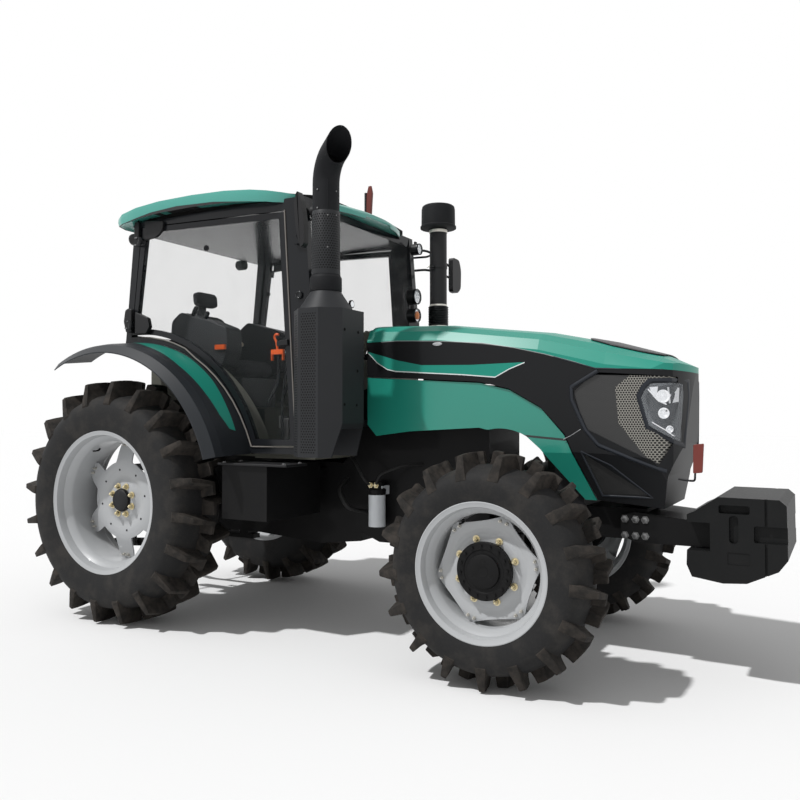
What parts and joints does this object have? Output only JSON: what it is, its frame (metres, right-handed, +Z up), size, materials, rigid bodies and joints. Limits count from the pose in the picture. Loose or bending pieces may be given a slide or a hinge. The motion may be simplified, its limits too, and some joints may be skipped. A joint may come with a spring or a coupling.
{
  "type": "farm tractor",
  "caption": "Four-wheel-drive farm tractor with a closed glass cab, sloping hood, guarded side exhaust, rear three-point linkage and a front weight block on a carrier.",
  "frame": {"origin": "on the ground under the middle of the overall box", "axes": "+X forward, +Y to the tractor's left, +Z up"},
  "size_m": [5.4, 2.252, 3.2962],
  "materials": {
    "green_paint": "gloss",
    "green_plastic": "satin",
    "black_paint": "satin",
    "charcoal_paint": "matt",
    "grey_paint": "satin",
    "dark_metal": "matt",
    "weight_iron": "painted, rough",
    "filter_paint": "gloss",
    "rim_paint": "satin silver",
    "tyre": "matt rubber",
    "dark_plastic": "moulded",
    "lamp_lens": "clear",
    "glass": "clear, faint tint",
    "seat_fabric": "woven"
  },
  "bodies": {
    "chassis": {"air_intake": "black_paint", "battery_box": "black_paint", "cab_frame": "black_paint", "cab_glass": "glass", "cab_tub": "grey_paint", "console": "dark_plastic", "drawbar": "black_paint", "engine_block": "black_paint", "exhaust_guard": "charcoal_paint", "exhaust_stack": "charcoal_paint", "fender_left": "green_paint", "fender_right": "green_paint", "front_axle_beam": "black_paint", "front_frame": "black_paint", "front_weights": "weight_iron", "fuel_filter": "filter_paint", "fuel_tank": "black_paint", "gearbox": "black_paint", "mirrors": "dark_plastic", "radiator": "dark_metal", "rear_axle": "black_paint", "roof": "green_plastic", "seat": "seat_fabric", "side_panel_left": "green_paint", "side_panel_right": "green_paint", "work_lamps": "dark_plastic"},
    "wheel_rear_right": {"rim_rear_right": "rim_paint", "tyre_rear_right": "tyre"},
    "wheel_rear_left": {"rim_rear_left": "rim_paint", "tyre_rear_left": "tyre"},
    "knuckle_right": {"knuckle_right": "black_paint"},
    "knuckle_left": {"knuckle_left": "black_paint"},
    "wheel_front_right": {"rim_front_right": "rim_paint", "tyre_front_right": "tyre"},
    "wheel_front_left": {"rim_front_left": "rim_paint", "tyre_front_left": "tyre"},
    "door_right": {"door_right": "black_paint", "door_glass_right": "glass"},
    "door_left": {"door_left": "black_paint", "door_glass_left": "glass"},
    "hood": {"hood": "green_paint", "nose_mesh": "dark_plastic", "headlamps": "lamp_lens"},
    "lower_links": {"lower_links": "black_paint"},
    "lift_arms": {"lift_arms": "black_paint"},
    "lift_rods": {"lift_rods": "black_paint"}
  },
  "joints": [
    {"name": "rear_right_roll", "type": "hinge", "parent": "chassis", "child": "wheel_rear_right", "pos_m": [-1.65, -0.893, 0.875], "axis": [0, 1, 0], "continuous": true},
    {"name": "rear_left_roll", "type": "hinge", "parent": "chassis", "child": "wheel_rear_left", "pos_m": [-1.65, 0.893, 0.875], "axis": [0, 1, 0], "continuous": true},
    {"name": "steer_right", "type": "hinge", "parent": "chassis", "child": "knuckle_right", "pos_m": [1.25, -0.66, 0.648], "axis": [0, 0, 1], "range_deg": [-40, 40]},
    {"name": "steer_left", "type": "hinge", "parent": "chassis", "child": "knuckle_left", "pos_m": [1.25, 0.66, 0.648], "axis": [0, 0, 1], "range_deg": [-40, 40]},
    {"name": "front_right_roll", "type": "hinge", "parent": "knuckle_right", "child": "wheel_front_right", "pos_m": [1.25, -0.907, 0.648], "axis": [0, 1, 0], "continuous": true},
    {"name": "front_left_roll", "type": "hinge", "parent": "knuckle_left", "child": "wheel_front_left", "pos_m": [1.25, 0.907, 0.648], "axis": [0, 1, 0], "continuous": true},
    {"name": "door_right_swing", "type": "hinge", "parent": "chassis", "child": "door_right", "pos_m": [-1.71, -0.79, 2.2], "axis": [-0.148, 0, -0.989], "range_deg": [0, 65]},
    {"name": "door_left_swing", "type": "hinge", "parent": "chassis", "child": "door_left", "pos_m": [-1.71, 0.79, 2.2], "axis": [0.148, 0, 0.989], "range_deg": [0, 65]},
    {"name": "hood_lift", "type": "hinge", "parent": "chassis", "child": "hood", "pos_m": [0.05, 0, 2.06], "axis": [0, -1, 0], "range_deg": [0, 50]},
    {"name": "links_lift", "type": "hinge", "parent": "chassis", "child": "lower_links", "pos_m": [-1.73, 0, 0.48], "axis": [0, 1, 0], "range_deg": [-12, 35]},
    {"name": "arms_lift", "type": "hinge", "parent": "chassis", "child": "lift_arms", "pos_m": [-1.88, 0, 1.085], "axis": [0, 1, 0], "range_deg": [-12, 35]},
    {"name": "rods_pin", "type": "hinge", "parent": "lift_arms", "child": "lift_rods", "pos_m": [-2.29898, 0, 1.0557], "axis": [0, 1, 0], "range_deg": [-35, 12]}
  ],
  "couplings": [
    {"joint": "steer_left", "follows": "steer_right", "ratio": 1},
    {"joint": "arms_lift", "follows": "links_lift", "ratio": 1},
    {"joint": "rods_pin", "follows": "links_lift", "ratio": -1}
  ]
}
